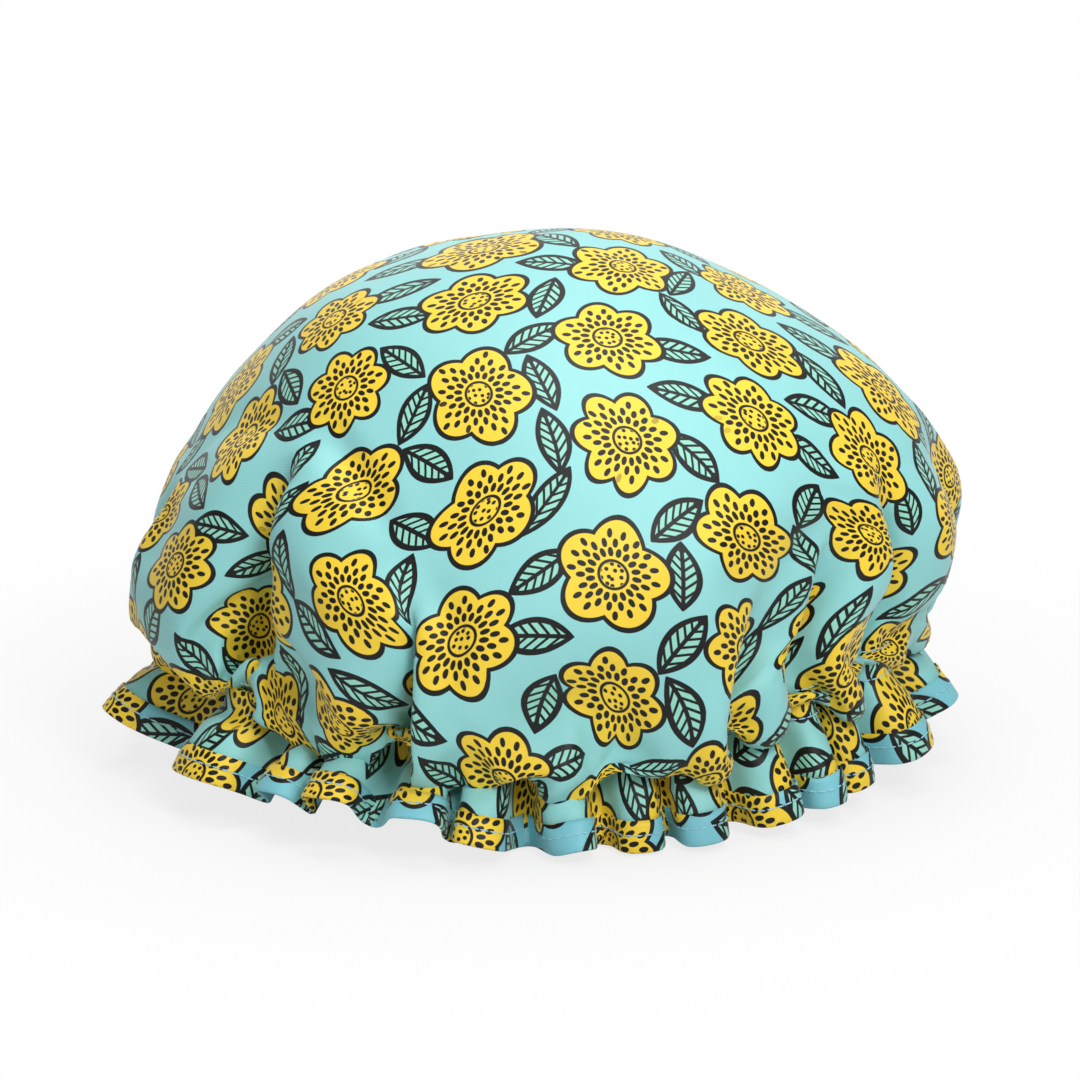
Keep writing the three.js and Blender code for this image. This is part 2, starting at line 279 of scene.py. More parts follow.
class Pattern:
    """The cloth's cut and its gathered starting form. Lengths along the cut are measured from the apex."""

    def __init__(self, size, folds):
        self.size = size
        self.half = folds.side // 2
        self.meridian(size)
        self.ruffle(folds)
        self.layers(folds)

    def meridian(self, size):
        """The cap's mean profile: crown, billow over the casing, casing and frill."""
        turn = np.linspace(0, math.pi / 2, 400)
        wide, casing, top = size.crown_radius, size.casing_radius, size.casing_top
        crown = np.stack([wide * np.sin(turn) ** 1.10, size.widest + size.crown_height * np.cos(turn)], 1)
        low = (casing + LIP_OUT, top - LIP_DROP)
        foot = (casing, top - size.casing_depth)
        spread = size.frill_depth * math.sin(size.frill_tilt)
        fall = size.frill_depth * math.cos(size.frill_tilt)
        hem = (casing + spread, foot[1] - fall)

        def bezier(start, first, second, end):
            points = [Vector((*p, 0)) for p in (start, first, second, end)]
            return np.array([p[:2] for p in interpolate_bezier(*points, 120)])[1:]

        # The inner two points of each curve set how full it hangs
        billow = bezier(crown[-1], (wide, size.widest - 0.022), (casing + 0.0185, low[1] + 0.0005), low)
        tuck = bezier(low, (casing + 0.0035, low[1] - 0.0003), (casing, top - 0.005), (casing, top))
        frill = bezier(foot, (foot[0] + 0.46 * spread, foot[1] - 0.29 * fall),
                       (hem[0] - 0.18 * spread, hem[1] + 0.36 * fall), hem)
        self.line = np.vstack([crown, billow, tuck, np.array([foot]), frill])
        self.along = running(np.hypot(*np.diff(self.line, axis=0).T))
        self.seam_up = self.along[-len(frill) - 2]
        self.seam_low = self.along[-len(frill) - 1]
        self.hem = self.along[-1]

    def at(self, cut):
        """Radius, height and outward normal of the mean profile at a length along the cut."""
        point = [np.interp(cut, self.along, self.line[:, i]) for i in (0, 1)]
        if cut >= self.seam_up - 1e-6:
            return (*point, 1.0, 0.0)
        ahead = [np.interp(cut + 0.0005, self.along, self.line[:, i]) for i in (0, 1)]
        slope = math.atan2(ahead[1] - point[1], ahead[0] - point[0])
        return (*point, -math.sin(slope), math.cos(slope))

    def ruffle(self, folds):
        """Uneven lobes round the casing, wider where the frill flares: the phase, the strength and the run
        up the crown at plan angles."""
        random = np.random.default_rng(folds.seed)
        even_step = np.arange(folds.lobes) * TURN / folds.lobes
        wide = np.exp(folds.variety * random.standard_normal(folds.lobes))
        wide = np.clip(wide, *LOBE_WIDTHS) * (1 + 0.02 * np.degrees(self.flare(even_step)))
        strength = np.clip(wide ** 0.35 * np.exp(0.2 * random.standard_normal(folds.lobes)), *LOBE_STRENGTHS)
        edges = running(wide) * TURN / wide.sum()
        count = 120 * folds.lobes
        self.plan = np.linspace(0, TURN, count, endpoint=False)
        self.tilt = self.flare(self.plan)
        lobe = np.interp(self.plan, edges, np.arange(folds.lobes + 1))
        window = np.hanning(61) / np.hanning(61).sum()

        def even(values):
            return np.convolve(np.tile(values, 3), window, "same")[count:2 * count]

        drift = even(lobe * TURN - self.plan * folds.lobes)
        self.phase = self.plan * folds.lobes + drift
        run = random.uniform(*GATHER_RUNS, folds.lobes)
        self.strength = even(np.interp(lobe, np.arange(folds.lobes + 1), [*strength, strength[0]]))
        self.run = even(np.interp(lobe, np.arange(folds.lobes + 1), [*run, run[0]]))
        self.swing_casing = self.swing_for(self.seam_up, folds.casing_fullness)
        self.swing_hem = self.swing_for(self.hem, folds.hem_fullness)

    @staticmethod
    def flare(angle):
        """Extra tilt of the frill at plan angles."""
        tilt = np.zeros_like(angle)
        for azimuth, half_width, degrees in FLARES:
            away = wrap(angle - math.radians(azimuth - 90)) / math.radians(half_width)
            tilt += math.radians(degrees) * np.exp(-away ** 2)
        return tilt

    def swing_for(self, cut, fullness):
        """The swing that makes the ruffle's length this many times the mean circle's."""
        low, high = 0.0, 0.03
        for _ in range(30):
            swing = (low + high) / 2
            short = self.curve(cut, swing)[1][-1] < TURN * self.at(cut)[0] * fullness
            low, high = (swing, high) if short else (low, swing)
        return swing

    def curve(self, cut, swing):
        """The gathered cloth's closed curve at one length along the cut, finely stepped, and the
        running length round it."""
        radius, height, out_share, up_share = self.at(cut)
        if cut > self.seam_low:
            # The frill takes its flare within 12 mm of the lower seam
            foot_radius, foot_height = self.at(self.seam_low)[:2]
            tilt = self.tilt * smooth(self.seam_low, self.seam_low + 0.012, cut)
            spread, rise = radius - foot_radius, height - foot_height
            radius = foot_radius + spread * np.cos(tilt) - rise * np.sin(tilt)
            height = foot_height + spread * np.sin(tilt) + rise * np.cos(tilt)
            out_share, up_share = np.cos(tilt), np.sin(tilt)
        # Lobes are round rolls with narrow creases between, and die out up the crown
        reach = swing * self.strength * smooth(self.seam_up - self.run, self.seam_up - 0.003, cut)
        out = reach * (np.cos(self.phase) - 0.1 * np.cos(2 * self.phase))
        side = reach * (0.25 * np.sin(self.phase) + 0.15 * np.sin(2 * self.phase))
        if cut < self.seam_up:
            # Tucks flatten into the gathers over the last 16 mm above the seam
            sewn = 1 - smooth(self.seam_up - 0.016, self.seam_up, cut)
            for azimuth, depth, width, level, lean in TUCKS:
                away = wrap(self.plan - math.radians(azimuth - 90)) * self.size.crown_radius
                fade = smooth(level + TUCK_GONE, level - TUCK_FULL, height)
                valley = depth * sewn * fade * np.exp(-(away / width) ** 2)
                out = out - valley
                side = side + lean * valley
        angle = self.plan + side / np.maximum(radius, 1e-6)
        reach = radius + out * out_share
        points = np.stack([reach * np.cos(angle), reach * np.sin(angle), height + out * up_share], 1)
        points = np.vstack([points, points[:1]])
        return points, running(lengths(np.diff(points, axis=0)))

    def ring(self, cut, count):
        """Evenly cut points round the gathered cloth at one length along the cut, and the whole length
        round it."""
        # Folds open out from just above the lower seam to the hem
        opened = smooth(self.seam_low - 0.006, self.hem, cut)
        points, length = self.curve(cut, self.swing_casing + (self.swing_hem - self.swing_casing) * opened)
        even = length / length[-1] * TURN
        even -= np.mean(even[:-1] - self.plan)
        wanted = (np.arange(count) * TURN / count - even[0]) % TURN + even[0]
        return np.stack([np.interp(wanted, even, points[:, i]) for i in range(3)], 1), length[-1]

    def layers(self, folds):
        """Cut lengths of the grid's square layers, finer to the hem, with one on each casing seam."""
        share = np.linspace(0, 1, self.half + 1)
        cuts = 1.35 * share - 0.35 * share ** 2.2
        cuts *= self.hem / cuts[-1]
        self.up = int(np.argmin(abs(cuts - self.seam_up)))
        self.low = int(np.argmin(abs(cuts - self.seam_low)))
        self.cuts = np.interp(
            cuts, [0, cuts[self.up], cuts[self.low], cuts[-1]], [0, self.seam_up, self.seam_low, self.hem])
        self.rings = [np.array([[0, 0, self.line[0, 1]]])]
        rest = [0.0]
        for layer in range(1, self.half + 1):
            points, length = self.ring(self.cuts[layer], 8 * layer)
            self.rings.append(points)
            rest.append(length / TURN)
        # Spare cloth lies on the crown's sides, with none at the apex or on the seam
        crown = 1 - smooth(self.seam_up - 0.03, self.seam_up, self.cuts)
        self.rest = np.array(rest) * (1 + folds.slack * crown * smooth(0.06, 0.19, self.cuts))
        drop = np.sqrt(np.clip(np.diff(self.cuts) ** 2 - np.diff(self.rest) ** 2, 0, None))
        self.rest_height = -running(drop)
        # On the print, each ring of the cloth keeps its area
        middle = (self.rest[1:] + self.rest[:-1]) / 2
        self.print_radius = np.sqrt(2 * running(middle * np.diff(self.cuts)))


def grid_places(mesh, half):
    """Layer and place in its layer of each vertex of a grid made with size 1."""
    x, y = np.rint(read_points(mesh)[:, :2] * half).astype(int).T
    layer = np.maximum(abs(x), abs(y))
    safe = np.maximum(layer, 1)
    place = np.select(
        [(x == layer) & (y > -layer), (y == layer), (x == -layer)],
        [y, 2 * safe - x, 4 * safe - y], 6 * safe + x)
    return layer, place % (8 * safe)


def grid_object(name, half):
    """An object holding a square grid, with each vertex's layer and place kept as attributes."""
    mesh = bpy.data.meshes.new(name)
    work = bmesh.new()
    bmesh.ops.create_grid(work, x_segments=2 * half, y_segments=2 * half, size=1)
    work.to_mesh(mesh)
    work.free()
    for attribute, values in zip(("layer", "place"), grid_places(mesh, half)):
        mesh.attributes.new(attribute, "INT", "POINT").data.foreach_set("value", values)
    return add_object(name, mesh)


def kept(piece, attribute):
    """The layer or the place of each vertex of a grid object."""
    values = np.empty(len(piece.data.vertices), int)
    piece.data.attributes[attribute].data.foreach_get("value", values)
    return values


def read_points(mesh):
    """A mesh's vertices, one row for each."""
    points = np.empty(len(mesh.vertices) * 3)
    mesh.vertices.foreach_get("co", points)
    return points.reshape(-1, 3)


def read_rings(piece):
    """The vertices of a grid object, as one array for each layer."""
    layer, place = kept(piece, "layer"), kept(piece, "place")
    points = read_points(piece.data)
    rings = []
    for i in range(layer.max() + 1):
        here = np.nonzero(layer == i)[0]
        rings.append(points[here[np.argsort(place[here])]])
    return rings


def set_points(mesh, points):
    """Moves a mesh's vertices."""
    mesh.vertices.foreach_set("co", np.asarray(points, np.float32).ravel())
    mesh.update()


def vertex_points(piece, rings):
    """One row for each vertex of a grid object from one array for each layer."""
    starts = running([len(r) for r in rings])
    return np.vstack(rings)[starts[kept(piece, "layer")] + kept(piece, "place")]


def flat_rings(radii, heights):
    """Even points round a circle for each layer, as one array for each."""
    rings = [np.array([[0, 0, heights[0]]])]
    for layer, (radius, height) in enumerate(zip(radii[1:], heights[1:]), 1):
        angle = np.arange(8 * layer) * TURN / (8 * layer)
        level = np.full_like(angle, height)
        rings.append(np.stack([radius * np.cos(angle), radius * np.sin(angle), level], 1))
    return rings


class Surface:
    """The finished cloth as a surface: points and normals at a cut length and an angle on the cut."""

    def __init__(self, piece):
        self.rings = read_rings(piece)
        self.cuts = np.array(piece["cuts"])

    def point(self, cut, angle):
        place = np.interp(cut, self.cuts, np.arange(len(self.cuts)))
        last = len(self.cuts) - 1
        first = min(int(place), last - 1)
        rows = [around(self.rings[min(max(first + k, 1), last)], angle) for k in (-1, 0, 1, 2)]
        return between(*rows, place - first)

    def frame(self, cut, angle):
        """Points with their directions round the ring, down the cloth and out of it."""
        here = self.point(cut, angle)
        step, turn = 0.0008, 0.002
        round_way = self.point(cut, angle + turn) - self.point(cut, angle - turn)
        down = here - self.point(cut - step, angle)
        round_way /= lengths(round_way)[:, None]
        down /= lengths(down)[:, None]
        out = np.cross(down, round_way)
        out /= lengths(out)[:, None]
        return here, round_way, down, out

    def even_angles(self, cut, pitch):
        """Angles a pitch apart along the cloth at a cut length, fitted to the whole ring."""
        angle = np.linspace(0, TURN, 6001)
        length = running(lengths(np.diff(self.point(cut, angle), axis=0)))
        count = round(length[-1] / pitch)
        return np.interp(np.arange(count) * length[-1] / count, length, angle), length[-1]


def sag_lip(points, cut, pattern, size):
    """Points of the cloth, at these lengths along the cut, with the crown let down over the front casing."""
    seam = pattern.seam_up
    start, full, end = 0.085, 0.030, 0.022
    lip = smooth(seam - start, seam - full, cut) * (1 - smooth(seam - end, seam, cut))
    x, y, _ = points.T
    front = (1 - y / np.maximum(np.hypot(x, y), 1e-6)) / 2
    sagged = points.copy()
    sagged[:, 2] -= size.lip_sag * lip * front ** 1.5
    return sagged


def lean_crown(points, size):
    """Points of the cap with its crown moved to the right: fully above its widest level and at its apex, and
    less on the shoulders between them."""
    height = points[:, 2]
    lip = smooth(0.034, 0.090, height)
    shoulders = smooth(0.130, 0.165, height)
    apex = smooth(0.160, 0.180, height)
    leaned = points.copy()
    leaned[:, 0] += size.crown_lean * (lip - 0.75 * (shoulders - apex))
    return leaned


def raise_sides(points, size):
    """Points of the cap with its casing and frill lifted at both sides, and the crown less so."""
    x, y, height = points.T
    side = x / np.maximum(np.hypot(x, y), 1e-6)
    raised = points.copy()
    low = 1 - smooth(0.05, 0.11, height)
    raised[:, 2] += side ** 2 * (size.side_rise + size.side_tilt * side) * low
    return raised


def simulate(piece, pattern, folds):
    """Puffs the gathered cloth out from its cut, held at the casing, and returns its vertices.
    It works at ten times the size, where the solver's limits suit the folds."""
    scale = 10.0
    layer = kept(piece, "layer")
    start = vertex_points(piece, pattern.rings)
    flat = vertex_points(piece, flat_rings(pattern.rest, pattern.rest_height))
    set_points(piece.data, start * scale)
    piece.shape_key_add(name="gathered")
    cut_key = piece.shape_key_add(name="cut")
    cut_key.data.foreach_set("co", (flat * scale).ravel())
    # The pressure fades towards the lip, which hangs, and the frill is stiffened by its seams
    number = np.arange(pattern.half + 1)
    slackened = 1 - 0.7 * smooth(pattern.seam_up - 0.11, pattern.seam_up - 0.02, pattern.cuts)
    groups = {
        "held": (number >= pattern.up) & (number <= pattern.low),
        "stiff": number >= pattern.low,
        "puffed": np.where(number < pattern.up, slackened, 0),
    }
    for name, weights in groups.items():
        group = piece.vertex_groups.new(name=name)
        for ring in np.nonzero(weights)[0]:
            group.add(np.nonzero(layer == ring)[0].tolist(), float(weights[ring]), "REPLACE")
    cloth = piece.modifiers.new("cloth", "CLOTH")
    settings = cloth.settings
    settings.quality = 8
    settings.mass = 0.3
    settings.tension_stiffness = 40
    settings.compression_stiffness = 20
    settings.shear_stiffness = 10
    settings.bending_stiffness = 0.5
    settings.bending_stiffness_max = 60
    settings.vertex_group_bending = "stiff"
    settings.air_damping = 8
    settings.vertex_group_mass = "held"
    settings.rest_shape_key = cut_key
    settings.use_pressure = True
    settings.uniform_pressure_force = folds.pressure
    settings.vertex_group_pressure = "puffed"
    settings.effector_weights.gravity = folds.gravity
    contact = cloth.collision_settings
    contact.use_collision = False
    contact.use_self_collision = True
    contact.self_distance_min = 0.012
    contact.collision_quality = 3
    scene = bpy.context.scene
    cloth.point_cache.frame_start = 1
    cloth.point_cache.frame_end = folds.frames
    for step in range(1, folds.frames + 1):
        scene.frame_set(step)
    settled = piece.evaluated_get(bpy.context.evaluated_depsgraph_get())
    points = read_points(settled.data) / scale
    piece.modifiers.remove(cloth)
    piece.shape_key_clear()
    piece.vertex_groups.clear()
    scene.frame_set(1)
    return points


# Materials

def add_node(tree, kind, inputs=(), **settings):
    """Adds a shader node with its settings, and sets its inputs or links them. A node that is given
    as an input stands for its first output."""
    node = tree.nodes.new("ShaderNode" + kind)
    for name, value in settings.items():
        setattr(node, name, value)
    for name, value in (inputs if isinstance(inputs, dict) else dict(enumerate(inputs))).items():
        if isinstance(value, bpy.types.Node):
            value = value.outputs[0]
        if isinstance(value, bpy.types.NodeSocket):
            tree.links.new(value, node.inputs[name])
        else:
            node.inputs[name].default_value = value
    return node


def new_material(name, roughness, **sockets):
    """A node material with constants set on its Principled shader, and that shader's tree."""
    material = bpy.data.materials.new(name)
    material.use_nodes = True
    shader = material.node_tree.nodes["Principled BSDF"]
    shader.inputs["Roughness"].default_value = roughness
    for socket, value in sockets.items():
        shader.inputs[socket.replace("_", " ")].default_value = value
    return material, material.node_tree, shader


def dye_shade_and_emboss(tree, shader, colour, tone, relief, strength, depth):
    """Gives a shader its colour, toned down in places (uneven dye, and painted shade in the grooves of weaves
    and plies), and its relief.
    """
    toned = add_node(tree, "Mix", {0: 1.0, 6: colour, 7: tone}, data_type="RGBA", blend_type="MULTIPLY")
    bump = add_node(tree, "Bump", {"Height": relief, "Strength": strength, "Distance": depth})
    tree.links.new(toned.outputs[2], shader.inputs["Base Color"])
    tree.links.new(bump.outputs[0], shader.inputs["Normal"])


def ink_within(tree, value, edge, bleed=0.00012):
    """1 where a value is below an edge and 0 above it, with the soft rim that ink bleeds to."""
    return add_node(tree, "MapRange", {
        "Value": value, "From Min": edge - bleed, "From Max": edge + bleed, "To Min": 1.0, "To Max": 0.0,
    }, interpolation_type="SMOOTHSTEP")


def overprint(tree, below, colour, mask):
    """A colour printed over another where a mask is 1."""
    return add_node(tree, "Mix", {0: mask, 6: below, 7: colour}, data_type="RGBA").outputs[2]


def repeat_cells(tree, flat, offset, lift):
    """Local coordinates in the half-drop repeat, strayed a little, with two random numbers for each cell."""
    look = bpy.context.scene.cap_print
    u, v, _ = add_node(tree, "SeparateXYZ", (flat,)).outputs
    across = add_node(tree, "Math", (u, 1 / look.column, offset), operation="MULTIPLY_ADD")
    number = add_node(tree, "Math", (across,), operation="FLOOR")
    half = add_node(tree, "Math", (number, 0.5), operation="MULTIPLY")
    drop = add_node(tree, "Math", (half,), operation="FRACT")
    level = add_node(tree, "Math", (v, 1 / look.row, lift), operation="MULTIPLY_ADD")
    down = add_node(tree, "Math", (level, drop), operation="ADD")
    line = add_node(tree, "Math", (down,), operation="FLOOR")
    key = add_node(tree, "CombineXYZ", (number, line, offset + lift))
    noise = add_node(tree, "TexWhiteNoise", (key,), noise_dimensions="3D").outputs
    chances = add_node(tree, "SeparateColor", (noise["Color"],)).outputs
    local = []
    for place, pitch, chance in ((across, look.column, chances[0]), (down, look.row, chances[1])):
        share = add_node(tree, "Math", (place,), operation="FRACT")
        middle = add_node(tree, "Math", (chance, STRAY, -(STRAY + pitch) / 2), operation="MULTIPLY_ADD")
        local.append(add_node(tree, "Math", (share, pitch, middle), operation="MULTIPLY_ADD"))
    return *local, noise["Value"], chances[2]


def petal_rim(tree, angle, petals, radius):
    """The scalloped rim's distance from a blossom's middle at an angle."""
    turned = add_node(tree, "Math", (angle, petals), operation="MULTIPLY")
    halved = add_node(tree, "Math", (turned, 0.5), operation="MULTIPLY")
    wave = add_node(tree, "Math", (halved,), operation="COSINE")
    scallop = add_node(tree, "Math", (wave,), operation="ABSOLUTE")
    share = add_node(tree, "Math", (scallop, 0.25, 0.81), operation="MULTIPLY_ADD")
    return add_node(tree, "Math", (share, radius), operation="MULTIPLY")


def print_blossoms(tree, flat, below):
    """Blossoms of five to seven petals, each with rings of dashes round a dotted eye."""
    look = bpy.context.scene.cap_print
    x, y, chance, other = repeat_cells(tree, flat, 0.0, 0.0)
    spot = add_node(tree, "CombineXYZ", (x, y))
    reach = add_node(tree, "VectorMath", (spot,), operation="LENGTH").outputs["Value"]
    heading = add_node(tree, "Math", (y, x), operation="ARCTAN2")
    angle = add_node(tree, "Math", (chance, TURN, heading), operation="MULTIPLY_ADD")
    count = add_node(tree, "Math", (other, 2.99, 5.0), operation="MULTIPLY_ADD")
    petals = add_node(tree, "Math", (count,), operation="FLOOR")
    again = add_node(tree, "Math", (chance, 7.0), operation="MULTIPLY")
    spread = add_node(tree, "Math", (again,), operation="FRACT")
    radius = add_node(tree, "Math", (spread, 0.16 * look.blossom, 0.90 * look.blossom),
                      operation="MULTIPLY_ADD")
    rim = petal_rim(tree, angle, petals, radius)
    off = add_node(tree, "Math", (reach, rim), operation="SUBTRACT")
    from_rim = add_node(tree, "Math", (off,), operation="ABSOLUTE")
    from_eye = add_node(tree, "Math", (reach, EYE_RADIUS), operation="SUBTRACT")
    from_ring = add_node(tree, "Math", (from_eye,), operation="ABSOLUTE")

    # Dashes stand on spokes, by turns in each ring, and only where the whole dash is inside the rim
    band = add_node(tree, "Math", (reach, 1 / DASH_PITCH, -DASH_START / DASH_PITCH), operation="MULTIPLY_ADD")
    ring = add_node(tree, "Math", (band,), operation="FLOOR")
    up = add_node(tree, "Math", (band,), operation="FRACT")
    along = add_node(tree, "Math", (up, DASH_PITCH, -DASH_PITCH / 2), operation="MULTIPLY_ADD")
    turned = add_node(tree, "Math", (angle, DASHES / TURN), operation="MULTIPLY")
    spoke = add_node(tree, "Math", (ring, 0.5, turned), operation="MULTIPLY_ADD")
    beside = add_node(tree, "Math", (spoke,), operation="FRACT")
    sideways = add_node(tree, "Math", (beside, 0.5), operation="SUBTRACT")
    arc = add_node(tree, "Math", (sideways, reach), operation="MULTIPLY")
    across = add_node(tree, "Math", (arc, 1.7 * TURN / DASHES), operation="MULTIPLY")
    offset = add_node(tree, "CombineXYZ", (across, along))
    dash = add_node(tree, "VectorMath", (offset,), operation="LENGTH").outputs["Value"]
    back = add_node(tree, "Math", (turned, sideways), operation="SUBTRACT")
    dash_angle = add_node(tree, "Math", (back, TURN / DASHES), operation="MULTIPLY")
    dash_rim = petal_rim(tree, dash_angle, petals, radius)
    dash_reach = add_node(tree, "Math", (ring, DASH_PITCH, DASH_START + DASH_PITCH / 2),
                          operation="MULTIPLY_ADD")
    room = add_node(tree, "Math", (dash_reach, dash_rim), operation="SUBTRACT")
    outside_eye = add_node(tree, "Math", (band, 0.0), operation="GREATER_THAN")
    allowed = add_node(tree, "Math", (outside_eye, ink_within(tree, room, -DASH_ROOM)), operation="MULTIPLY")
    dashes = add_node(tree, "Math", (ink_within(tree, dash, DASH_SIZE), allowed), operation="MULTIPLY")
    # Dots of the eye, 2.4 mm apart
    dots = add_node(tree, "TexVoronoi", {"Vector": flat, "Scale": 420.0, "Randomness": 0.6},
                    voronoi_dimensions="2D")
    in_eye = ink_within(tree, reach, EYE_RADIUS - 0.0006)
    seeds = add_node(tree, "Math", (ink_within(tree, dots, 0.3, 0.05), in_eye), operation="MULTIPLY")

    colour = overprint(tree, below, hex_colour(look.petal), ink_within(tree, off, 0.0))
    lines = ink_within(tree, from_rim, RIM_LINE), ink_within(tree, from_ring, EYE_LINE)
    for mask in (*lines, dashes, seeds):
        colour = overprint(tree, colour, hex_colour(look.ink), mask)
    return colour


def print_leaves(tree, flat, below, lift):
    """Leaves with ribs, in the gaps between the blossoms."""
    look = bpy.context.scene.cap_print
    x, y, chance, _ = repeat_cells(tree, flat, 0.5, lift)
    heading = add_node(tree, "Math", (chance, TURN), operation="MULTIPLY")
    spin = add_node(tree, "VectorRotate", {"Vector": add_node(tree, "CombineXYZ", (x, y)), "Angle": heading},
                    rotation_type="Z_AXIS")
    along, beside, _ = add_node(tree, "SeparateXYZ", (spin,)).outputs
    length = add_node(tree, "Math", (along, 1 / LEAF_LENGTH), operation="MULTIPLY")
    squared = add_node(tree, "Math", (length, length), operation="MULTIPLY")
    belly = add_node(tree, "Math", (squared, -LEAF_WIDTH, LEAF_WIDTH), operation="MULTIPLY_ADD")
    across = add_node(tree, "Math", (beside,), operation="ABSOLUTE")
    off = add_node(tree, "Math", (across, belly), operation="SUBTRACT")
    from_rim = add_node(tree, "Math", (off,), operation="ABSOLUTE")
    from_middle = add_node(tree, "Math", (length,), operation="ABSOLUTE")
    to_tips = ink_within(tree, from_middle, 1.08, 0.02)
    outline = add_node(tree, "Math", (ink_within(tree, from_rim, LEAF_LINE), to_tips), operation="MULTIPLY")
    slant = add_node(tree, "Math", (along, across), operation="SUBTRACT")
    counted = add_node(tree, "Math", (slant, 1 / LEAF_RIBS), operation="MULTIPLY")
    share = add_node(tree, "Math", (counted,), operation="FRACT")
    centred = add_node(tree, "Math", (share, 0.5), operation="SUBTRACT")
    rib = add_node(tree, "Math", (centred,), operation="ABSOLUTE")
    ribs = add_node(tree, "Math", (ink_within(tree, across, VEIN_LINE), ink_within(tree, rib, 0.18, 0.04)),
                    operation="MAXIMUM")
    inside = ink_within(tree, off, 0.0)
    veins = add_node(tree, "Math", (ribs, inside), operation="MULTIPLY")
    lines = add_node(tree, "Math", (outline, veins), operation="MAXIMUM")
    colour = overprint(tree, below, hex_colour(look.leaf), inside)
    return overprint(tree, colour, hex_colour(look.ink), lines)


def printed_polyester(name, ground):
    """Woven polyester, pressed to a soft satin and screen printed."""
    # It shows broad, dull highlights along its folds, a diagonal weave and flat colours with sharp edges.
    # Its threads, about 0.2 mm apart, are too fine to show, so they are drawn about 1 mm apart
    material, tree, shader = new_material(
        name, 0.48, Specular_IOR_Level=0.36, Sheen_Weight=0.25, Sheen_Roughness=0.35)
    flat = add_node(tree, "UVMap", uv_map="cut")
    colour = hex_colour(ground)
    for lift in (0.0, 0.5):
        colour = print_leaves(tree, flat, colour, lift)
    colour = print_blossoms(tree, flat, colour)
    u, v, _ = add_node(tree, "SeparateXYZ", (flat,)).outputs
    threads = []
    for operation, spacing in (("ADD", 0.0011), ("SUBTRACT", 0.0009)):
        slant = add_node(tree, "Math", (u, v), operation=operation)
        wound = add_node(tree, "Math", (slant, TURN / spacing), operation="MULTIPLY")
        threads.append(add_node(tree, "Math", (wound,), operation="SINE"))
    twill, weft = threads
    # The dye is uneven over about 55 mm
    cloud = add_node(tree, "TexNoise", {"Vector": flat, "Scale": 18.0, "Detail": 3.0})
    dye = add_node(tree, "Math", (cloud, 0.08, 0.96), operation="MULTIPLY_ADD")
    # The twill also darkens the colour a little in its grooves, as painted shade on top of the uneven dye
    tone = add_node(tree, "Math", (twill, 0.018, dye), operation="MULTIPLY_ADD")
    relief = add_node(tree, "Math", (weft, 0.4, twill), operation="MULTIPLY_ADD")
    dye_shade_and_emboss(tree, shader, colour, tone, relief, 0.12, 0.0004)
    return material


def vinyl_film():
    """Soft matt film, blown thin."""
    # It shows a smooth pale skin, a little cloudy, with faint creases where it was folded
    material, tree, shader = new_material("vinyl_film", 0.38, Specular_IOR_Level=0.45)
    # Clouds are about 17 mm across and creases about 6 mm apart
    place = add_node(tree, "TexCoord").outputs["Object"]
    cloud = add_node(tree, "TexNoise", {"Vector": place, "Scale": 60.0, "Detail": 4.0})
    creases = add_node(tree, "TexNoise", {"Vector": place, "Scale": 160.0, "Detail": 2.0, "Distortion": 1.5})
    tone = add_node(tree, "Math", (cloud, 0.08, 0.92), operation="MULTIPLY_ADD")
    dye_shade_and_emboss(tree, shader, hex_colour("eaf0f0"), tone, creases, 0.15, 0.001)
    return material


def narrow_weave(name, colour_text, warp, weft, strength, roughness):
    """Woven narrow goods, with their threads' spacing in metres along and across the strip."""
    # They show a dull surface, ribbed by the threads, with painted shade in the gaps between
    material, tree, shader = new_material(name, roughness, Sheen_Weight=0.15)
    flat = add_node(tree, "SeparateXYZ", (add_node(tree, "UVMap", uv_map="cut"),)).outputs
    threads = []
    for way, spacing in zip(flat, (warp, weft)):
        wound = add_node(tree, "Math", (way, TURN / spacing), operation="MULTIPLY")
        threads.append(add_node(tree, "Math", (wound,), operation="SINE"))
    relief = add_node(tree, "Math", threads, operation="MAXIMUM")
    # The colour follows the threads' relief, darker in the gaps between them: painted shade
    tone = add_node(tree, "Math", (relief, 0.06, 0.94), operation="MULTIPLY_ADD")
    dye_shade_and_emboss(tree, shader, hex_colour(colour_text), tone, relief, strength, 0.0004)
    return material


def spun_thread():
    """Pale spun polyester sewing thread."""
    # It shows its two plies as a twist along each stitch
    material, tree, shader = new_material("spun_polyester_thread", 0.5, Sheen_Weight=0.2)
    flat = add_node(tree, "SeparateXYZ", (add_node(tree, "UVMap", uv_map="cut"),)).outputs
    way = add_node(tree, "Math", (flat[0], 2.0), operation="MULTIPLY")
    slant = add_node(tree, "Math", (flat[1], 5.0, way), operation="MULTIPLY_ADD")
    wound = add_node(tree, "Math", (slant, TURN), operation="MULTIPLY")
    ply = add_node(tree, "Math", (wound,), operation="SINE")
    # The colour follows the twist, darker in the groove between the plies: painted shade
    tone = add_node(tree, "Math", (ply, 0.07, 0.93), operation="MULTIPLY_ADD")
    dye_shade_and_emboss(tree, shader, hex_colour("a9def2"), tone, ply, 0.3, 0.0001)
    return material


# Pieces

def finish_piece(piece, material, slot, *nodes):
    """Gives a piece its material and its place in the frame."""
    piece.data.materials.append(material)
    piece.data.shade_smooth()
    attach(piece, BODY)
    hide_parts(*nodes)


def thicken(piece, thickness, offset):
    """Makes a sheet a closed solid."""
    solid = piece.modifiers.new("thickness", "SOLIDIFY")
    solid.thickness = thickness
    solid.offset = offset
    solid.use_even_offset = False
    solid.use_rim = True


